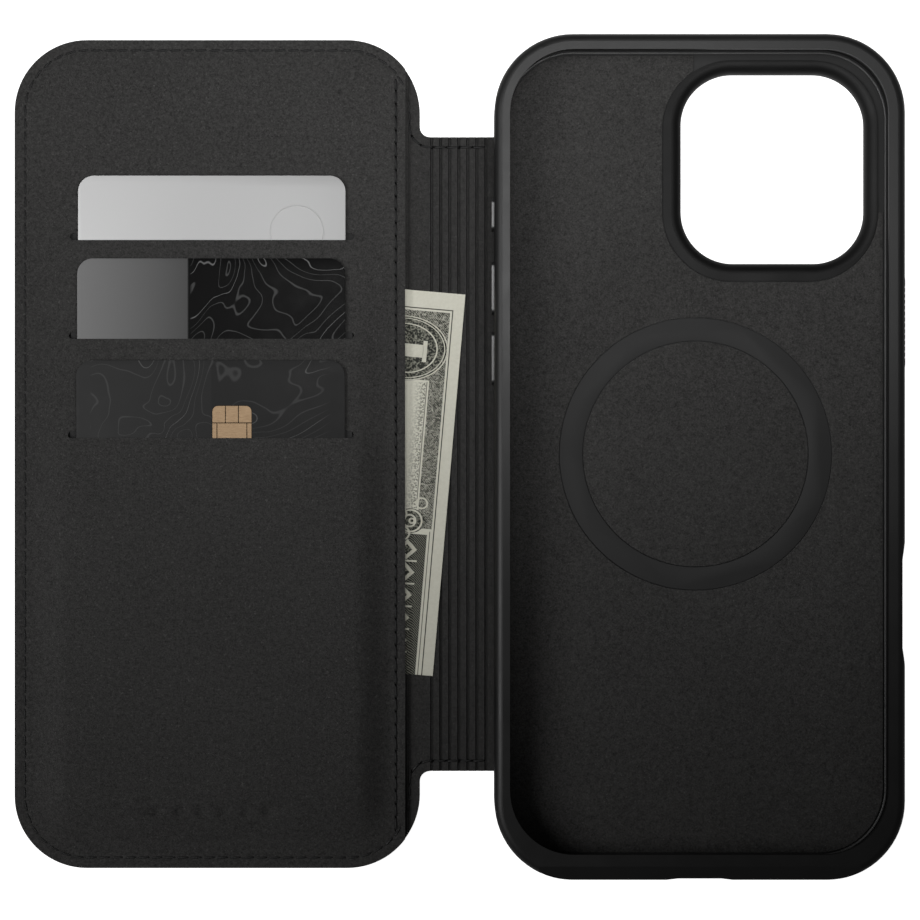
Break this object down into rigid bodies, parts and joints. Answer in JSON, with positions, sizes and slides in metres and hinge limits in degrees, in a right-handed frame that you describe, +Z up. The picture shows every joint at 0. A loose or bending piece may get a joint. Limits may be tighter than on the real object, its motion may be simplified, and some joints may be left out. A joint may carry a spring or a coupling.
{
  "type": "phone wallet case",
  "caption": "Folio phone case lying open: phone tray with camera opening and side buttons, ribbed folding spine, and a stitched cover with card slots and a cash pocket.",
  "frame": {"origin": "middle of the bounding box at the underside of the camera ring, with the case lying open on its outside", "axes": "+X from the cover to the phone tray, +Y towards the camera end, +Z up out of the open case"},
  "size_m": [0.179, 0.1684, 0.0131],
  "materials": {
    "bumper_black": "soft touch, satin",
    "plate_black": "moulded, matt",
    "ring_black": "moulded, satin",
    "leather_black": "fine grain, satin",
    "lining_black": "brushed microfibre",
    "ring_cover": "smooth, matt",
    "magnet": "nickel plated",
    "button_metal": "anodised, smooth",
    "power_metal": "anodised black, knurled",
    "thread_black": "waxed thread",
    "board": "stiffening board",
    "liner_black": "plain woven lining",
    "card_pale": "bead blasted, satin",
    "card_grey": "printed, satin",
    "card_black": "printed, satin",
    "chip_gold": "contact pads",
    "note_paper": "printed note paper"
  },
  "bodies": {
    "tray": {"bumper_frame": "bumper_black", "back_plate": "plate_black", "back_leather": "leather_black", "camera_ring": "ring_black", "tray_lining": "lining_black", "magnet_ring_cover": "ring_cover", "ring_magnets": "magnet", "alignment_magnet": "magnet"},
    "action_button": {"action_button": "button_metal"},
    "volume_up_button": {"volume_up_button": "button_metal"},
    "volume_down_button": {"volume_down_button": "button_metal"},
    "power_button": {"power_button": "power_metal"},
    "spine": {"spine_leather": "leather_black", "spine_lining": "lining_black", "spine_thread": "thread_black"},
    "cover": {"cover_leather": "leather_black", "cover_board": "board", "cover_lining": "lining_black", "pocket_backing": "liner_black", "slot_panel": "lining_black", "middle_card_liner": "liner_black", "lower_card_liner": "liner_black", "cover_thread": "thread_black", "pocket_edge_thread": "thread_black", "banknote": "note_paper"},
    "upper_card": {"upper_card": "card_pale"},
    "middle_card": {"middle_card": "card_grey"},
    "lower_card": {"lower_card": "card_black", "card_chip": "chip_gold"}
  },
  "joints": [
    {"name": "spine_fold", "type": "hinge", "parent": "tray", "child": "spine", "pos_m": [0.00615, 0.0005, 0.0022], "axis": [0, 1, 0], "range_deg": [-90, 90]},
    {"name": "cover_fold", "type": "hinge", "parent": "spine", "child": "cover", "pos_m": [-0.0098, 0.0005, 0.0022], "axis": [0, 1, 0], "range_deg": [-90, 90], "deforming": ["banknote"]},
    {"name": "upper_card_slide", "type": "slide", "parent": "cover", "child": "upper_card", "axis": [0, 1, 0], "range_m": [0, 0.074]},
    {"name": "middle_card_slide", "type": "slide", "parent": "cover", "child": "middle_card", "axis": [0, 1, 0], "range_m": [0, 0.071]},
    {"name": "lower_card_slide", "type": "slide", "parent": "cover", "child": "lower_card", "axis": [0, 1, 0], "range_m": [0, 0.071]},
    {"name": "action_press", "type": "slide", "parent": "tray", "child": "action_button", "axis": [1, 0, 0], "range_m": [0, 0.0003], "stiffness_N_per_m": 400},
    {"name": "volume_up_press", "type": "slide", "parent": "tray", "child": "volume_up_button", "axis": [1, 0, 0], "range_m": [0, 0.0003], "stiffness_N_per_m": 400},
    {"name": "volume_down_press", "type": "slide", "parent": "tray", "child": "volume_down_button", "axis": [1, 0, 0], "range_m": [0, 0.0003], "stiffness_N_per_m": 400},
    {"name": "power_press", "type": "slide", "parent": "tray", "child": "power_button", "axis": [-1, 0, 0], "range_m": [0, 0.0003], "stiffness_N_per_m": 400}
  ]
}
